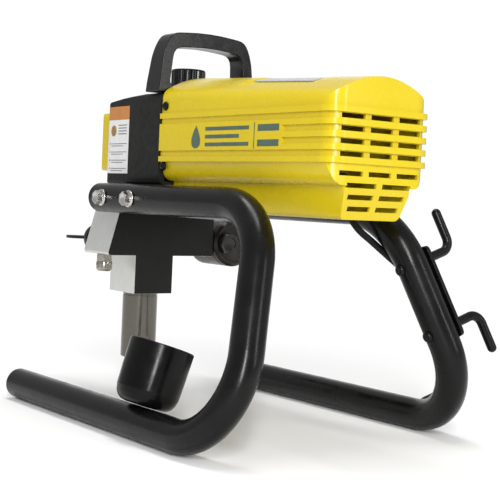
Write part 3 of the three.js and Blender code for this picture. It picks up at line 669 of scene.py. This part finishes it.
def make_cylinder():
    flat, flats_low, flats_high = 0.0185, 0.053, 0.067

    def flats(angle, r, h):
        reach = flat / max(0.01, abs(math.cos(angle - FLATS_TURN)))
        return min(r, reach) if flats_low <= h <= flats_high and r > flat else r

    top, bore, outer = 0.1167, 0.014, 0.0204
    groove = outer - 0.0008
    profile = [
        (0.011, 0.041), (outer - 0.001, 0.041), (outer, 0.042), (outer, 0.0529), (outer, flats_low),
        (outer, flats_high), (outer, 0.0671), (outer, top - 0.0035), (groove, top - 0.0032),
        (groove, top - 0.0022), (outer, top - 0.0019), (outer, top), (bore + 0.0022, top),
        (bore + 0.0022, 0.148), (bore, 0.148), (bore, 0.058), (0.005, 0.058), (0.005, 0.052),
        (0.011, 0.052), (0.011, 0.041),
    ]
    cylinder = turned("cylinder", profile, at(0, PUMP_Y, 0), (0, 0, 1), (0, 1, 0), 120, flats, 0)
    # The cylinder takes the darker stainless finish, whose low colour is painted reflection.
    stand_in("inlet_cylinder", cylinder, stainless)


def make_ball():
    r, steps = 0.007, 16
    turns = [math.pi * k / steps for k in range(steps + 1)]
    profile = [(r * math.sin(a), -r * math.cos(a)) for a in turns]
    ball = turned("ball", profile, at(*BALL_IN_MACHINE), (0, 0, 1), (0, 1, 0), 40, ease=0)
    stand_in("inlet_ball", ball)


def make_outlet():
    """The hose outlet's hexagon and thread, and the nut that holds it."""
    z, bore = 0.1607, 0.003
    axis, ref, origin = (0, 0, 1), (0, 1, 0), at(0.050, PUMP_Y, 0)
    low, pitch, turns = z - 0.013, 0.001, 5
    ring = [(bore, z - 0.008), (0.0098, z - 0.008), (0.0098, z), (bore, z), (bore, z - 0.008)]
    hex_part = turned("hex", ring, origin, axis, ref, 72, hexagon(0.017), 0)
    thread = [(bore, low)]
    for i in range(turns):
        start = low + i * pitch
        thread += [(0.0051, start), (0.0055, start + 0.0004), (0.0051, start + 0.0008)]
    thread += [(bore, z - 0.008), (bore, low)]
    thread_part = turned("thread", thread, origin, axis, ref, ease=0)
    stand_in("outlet_fitting", merged("fitting", hex_part, thread_part), nickel)
    top = z - 0.0083
    nut = [
        (0.004, top - 0.011), (0.0068, top - 0.011), (0.0082, top - 0.0098), (0.0094, top - 0.008),
        (0.0094, top - 0.0066), (0.0088, top - 0.006), (0.0088, top - 0.0054), (0.0099, top - 0.0048),
        (0.0099, top - 0.0025), (0.009, top), (0.0058, top), (0.0058, top - 0.006), (0.004, top - 0.006),
        (0.004, top - 0.011),
    ]
    notched = turned("nut", nut, origin, axis, ref, 72, hexagon(0.0184, round_inside=0.0085), 0)
    stand_in("outlet_nut", notched, nickel)


def make_prime_valve():
    stand_in("prime_valve", eased_copy("prime_valve", 0.0004))
    bell = [
        (0, -0.444), (0.0166, -0.444), (0.017, -0.4444), (0.017, -0.448), (0.0161, -0.4512),
        (0.0138, -0.4552), (0.0108, -0.459), (0.0082, -0.4625), (0.0064, -0.4665), (0.0052, -0.4705),
        (0.004, -0.4736), (0, -0.474),
    ]
    origin = at(0.038, 0, 0.177)
    body = turned("bell", bell, origin, (0, 1, 0), ease=0.0005)
    bm = bmesh.new()
    outline = [
        (0.005, -0.462), (0.0085, -0.4665), (0.0175, -0.4745), (0.0197, -0.4785), (0.02, -0.4865),
        (0.0185, -0.4905), (0.015, -0.4928),
    ]
    outline += [(-x, y) for x, y in reversed(outline)]
    half_thick = 0.0018
    add_rings(bm, [[origin + Vector((x, y, z)) for x, y in outline] for z in (-half_thick, half_thick)])
    bevel = {"width": 0.0009, "segments": 3, "limit_method": "ANGLE", "angle_limit": math.radians(50)}
    blade = applied(to_mesh("blade", bm), "blade", ("BEVEL", bevel))
    stand_in("prime_knob", merged("knob", body, blade))


def make_filter():
    x, z, r, split, rear = -0.112, 0.177, 0.0282, -0.390, -0.378
    origin = at(x, 0, z)
    stand_in("filter_body", eased_copy("filter_body", 0.0008))
    lid = [
        (0, split + 0.0003), (r, split + 0.0003), (r, split + 0.0035), (r - 0.0007, split + 0.004),
        (r - 0.0007, split + 0.005), (r, split + 0.0055), (r, rear - 0.003), (r - 0.003, rear),
        (r - 0.006, rear), (r - 0.0068, rear - 0.0006), (0, rear - 0.0006),
    ]
    lid_mesh = turned("lid", lid, origin, (0, 1, 0), segments=96)
    boss = [
        (0, rear - 0.001), (0.0133, rear - 0.001), (0.0133, rear + 0.010), (0.0072, rear + 0.010),
        (0.0066, rear + 0.0086), (0, rear + 0.0086),
    ]
    off_centre = Vector((0.012, 0, 0))
    plug = turned("boss", boss, origin + off_centre, (0, 1, 0), (0, 0, 1), 72, hexagon(0.023), 0.0003)
    piece = stand_in("filter_cap", merged("cap", lid_mesh, plug))
    piece.data.materials.append(filter_plug.material)
    face_y = origin.y + rear + 0.0004
    for face in piece.data.polygons:
        face.material_index = int(face.center.y > face_y)


make_block()
make_cylinder()
make_ball()
make_outlet()
make_prime_valve()
make_filter()


# ---------- drive, handle and controls ----------
EDGE_OF_NODE = {
    "drive_housing": 0.0022, "front_cover": 0.0016, "carry_handle": 0.0022, "drive_saddle": 0.0006,
    "switch_bezel": 0.0006, "rocker_switch": 0.0005, "gearbox_cover": 0.0004,
}


def make_drive():
    for node, width in EDGE_OF_NODE.items():
        stand_in(node, eased_copy(node, width))


def make_knob():
    origin, axis, ref = at(0, KNOB_Y, 0), (0, 0, 1), (0, 1, 0)
    bore, low, high = 0.0044, 0.3413, 0.35
    collar = [(bore, low), (0.011, low), (0.011, 0.3485), (0.0098, high), (bore, high), (bore, low)]
    stand_in("knob_collar", turned("collar", collar, origin, axis, ref, ease=0))
    count, depth, smooth_inside = 14, 0.0017, 0.0165

    def flutes(angle, r, h):
        if r < smooth_inside:
            return r
        dip = 0.5 - 0.5 * math.cos(count * angle)
        return r - depth * dip ** 3

    grip = [
        (0, 0.322), (0.004, 0.322), (0.004, 0.352), (0.0186, 0.352), (0.019, 0.3525), (0.019, 0.3695),
        (0.0183, 0.3711), (0.0168, 0.3715), (0.0145, 0.3715), (0.0138, 0.3708), (0, 0.3706),
    ]
    stand_in("pressure_knob", turned("grip", grip, origin, axis, ref, 168, flutes, 0.0003))


def make_shroud():
    stand_in("motor_shroud", eased_copy("motor_shroud", 0.0006, angle=35, segments=2))
    stand_in("rating_plate", eased_copy("rating_plate", 0.0002))
    dome = [
        (0, 0.0003), (0.0048, 0.0003), (0.0048, 0.0009), (0.0044, 0.0021), (0.0034, 0.0029),
        (0.0016, 0.0034), (0.0012, 0.0022), (0, 0.0021),
    ]
    screw_x, screw_y = 0.058, -0.274
    for level, z in (("upper", 0.325), ("lower", 0.262)):
        for word, side in (("outlet", 1), ("filter", -1)):
            origin = at(side * screw_x, screw_y, z)
            head = turned("dome", dome, origin, (side, 0, 0), segments=48, ease=0.0002)
            stand_in(f"{word}_{level}_shroud_screw", head)


make_drive()
make_knob()
make_shroud()


# ---------- label and decal, with generic shapes only ----------
PRINT_THICK = 0.00008
LABEL = {"front": -0.398, "rear": -0.348, "low": 0.2535, "high": 0.328}
PAPER_LIFT, PRINT_LIFT = 0.00015, 0.0003


def laid_on(name, target, outlines, lift, finish):
    """Thin printed shapes laid on the side of a piece, each an outline of (y, z) in machine axes."""
    bm = bmesh.new()
    for outline in outlines:
        places = []
        for y, z in outline:
            found, place, normal, _ = target.ray_cast(at(0.2, y, z), Vector((-1, 0, 0)))
            if found:
                places.append(place + normal * lift)
        if len(places) == len(outline):
            bm.faces.new([bm.verts.new(place) for place in places])
    bmesh.ops.triangulate(bm, faces=[f for f in bm.faces if len(f.verts) > 4])
    mesh = bpy.data.meshes.new(name)
    bm.to_mesh(mesh)
    bm.free()
    if sum(face.normal.x for face in mesh.polygons) < 0:
        mesh.flip_normals()
    thick = applied(mesh, name, ("SOLIDIFY", {"thickness": PRINT_THICK, "offset": 1}))
    smooth(thick)
    return finished(name, thick, [finish], "frame")


def cells(y0, y1, z0, z1, across, up=1):
    """A rectangle as a grid of small quads, so that it follows a curved side."""
    out = []
    for i in range(across):
        for k in range(up):
            a, b = y0 + (y1 - y0) * i / across, y0 + (y1 - y0) * (i + 1) / across
            c, d = z0 + (z1 - z0) * k / up, z0 + (z1 - z0) * (k + 1) / up
            out.append([(a, c), (b, c), (b, d), (a, d)])
    return out


def disc(y, z, r, points=20):
    turns = [2 * math.pi * i / points for i in range(points)]
    return [(y + r * math.cos(a), z + r * math.sin(a)) for a in turns]


def make_label():
    side, slot = bpy.data.objects["drive_housing_fine"], "white_polymer"
    front, rear, low, high = (LABEL[edge] for edge in ("front", "rear", "low", "high"))
    split = high - 0.2 * (high - low)
    laid_on("label_paper", side, cells(front, rear, low, split, 12, 8), PAPER_LIFT, paper)
    laid_on("label_header", side, cells(front, rear, split, high, 12, 3), PAPER_LIFT, orange_ink)
    icon = disc(front + 0.014, split - 0.012, 0.0062)
    laid_on("label_icon", side, [icon], PRINT_LIFT, brown_ink)
    bars = []
    for row in range(4):
        z = split - 0.006 - row * 0.0032
        bars += cells(front + 0.025, rear - 0.005, z - 0.0006, z + 0.0006, 3)
    for row in range(4):
        z = split - 0.0265 - row * 0.0092
        bars.append(disc(front + 0.0065, z, 0.0011, 10))
        y0 = front + 0.0095
        for line, reach in enumerate((0.0365, 0.0285)):
            drop = line * 0.0024
            bars += cells(y0, y0 + reach, z - 0.0005 - drop, z + 0.0004 - drop, 5)
    laid_on("label_bars", side, bars, PRINT_LIFT, grey_ink)


def make_decal():
    """A droplet, bars, an upright and two blocks on the shroud's side panel."""
    side = bpy.data.objects["motor_shroud_fine"]
    z = 0.2915
    drop_y, bars_y, upright_y, end_y = -0.2115, -0.195, -0.113, -0.074
    steps = 28
    drop = []
    for i in range(steps):
        a = 2 * math.pi * i / steps
        pinch = 0.0072 * math.sin(a / 2) ** 1.2
        drop.append((drop_y + pinch * math.sin(a) * 1.5, z + 0.0115 * math.cos(a)))
    shapes = [drop]
    for row, reach in enumerate((0.074, 0.058, 0.074)):
        height = z + 0.0078 - row * 0.0078
        shapes += cells(bars_y, bars_y + reach, height - 0.0019, height + 0.0019, 4)
    shapes += cells(upright_y, upright_y + 0.0012, z - 0.0125, z + 0.0125, 1)
    for height in (z + 0.0072, z - 0.0072):
        shapes += cells(upright_y + 0.006, end_y, height - 0.0032, height + 0.0032, 4)
    laid_on("side_decal", side, shapes, 0.00012, green_ink)


make_label()
make_decal()


# ---------- finish of the CAD pieces that stay ----------
def finish_carried():
    for node, piece in NODES.items():
        if piece.hide_render:
            continue
        piece.data.materials.clear()
        piece.data.materials.append(FINISH_OF_SLOT[SLOT_OF_NODE[node]].material)


finish_carried()


# ---------- studio ----------
AIM = (0.0, 0.0, 0.2)
FLOOR_GREY = (0.95, 0.95, 0.95)
GLOW = {"From Min": 0.32, "From Max": 0.8}  # metres from the floor's centre
FAR_SIDE = (-0.592, -0.805, 0)  # the level direction whose surroundings are white
BACKDROP = {"From Min": 0.88, "From Max": 0.93, "To Min": 0.5, "To Max": 1.04}


def area_light(name, place, size, power):
    data = bpy.data.lights.new(name, "AREA")
    data.shape = "RECTANGLE"
    data.size, data.size_y = size
    data.energy = power
    light = bpy.data.objects.new(name, data)
    light.location = place
    light.rotation_euler = (Vector(AIM) - Vector(place)).to_track_quat("-Z", "Y").to_euler()
    bpy.context.scene.collection.objects.link(light)


def map_range(tree, value, settings):
    node = tree.nodes.new("ShaderNodeMapRange")
    for socket, setting in settings.items():
        node.inputs[socket].default_value = setting
    tree.links.new(value, node.inputs["Value"])
    return node.outputs["Result"]


def make_floor():
    """A pale floor whose far part glows, so that it meets the white background without a line."""
    finish = Finish("floor", FLOOR_GREY, 0.8, specular=0.2)
    tree = finish.tree
    length = tree.nodes.new("ShaderNodeVectorMath")
    length.operation = "LENGTH"
    tree.links.new(finish.place, length.inputs[0])
    far = map_range(tree, length.outputs["Value"], GLOW)
    fading = finish.ramp(far, FLOOR_GREY, (0, 0, 0), (0, 1))
    tree.links.new(fading, finish.shader.inputs["Base Color"])
    finish.shader.inputs["Emission Color"].default_value = (1, 1, 1, 1)
    tree.links.new(far, finish.shader.inputs["Emission Strength"])
    bm = bmesh.new()
    bmesh.ops.create_grid(bm, x_segments=24, y_segments=24, size=6)
    floor = bpy.data.objects.new("floor", to_mesh("floor", bm))
    floor.data.materials.append(finish.material)
    floor.location.z = -0.0002
    bpy.context.scene.collection.objects.link(floor)


def make_world():
    """White surroundings on one side of the machine, as a lit backdrop makes, and dimmer ones elsewhere."""
    world = bpy.data.worlds.new("studio")
    world.use_nodes = True
    tree = world.node_tree
    towards = tree.nodes.new("ShaderNodeVectorMath")
    towards.operation = "DOT_PRODUCT"
    towards.inputs[1].default_value = FAR_SIDE
    tree.links.new(tree.nodes.new("ShaderNodeTexCoord").outputs["Generated"], towards.inputs[0])
    background = tree.nodes["Background"]
    background.inputs["Color"].default_value = (1, 1, 1, 1)
    tree.links.new(map_range(tree, towards.outputs["Value"], BACKDROP), background.inputs["Strength"])
    bpy.context.scene.world = world


def make_studio():
    make_floor()
    make_world()
    bpy.context.scene.view_settings.view_transform = "Standard"
    area_light("key", (1.2, 1.8, 0.9), (0.22, 1.3), 42)
    area_light("rear", (-0.9, 1.9, 0.8), (0.2, 1.0), 7)
    area_light("top", (0.0, -0.1, 2.0), (0.4, 1.4), 16)


make_studio()
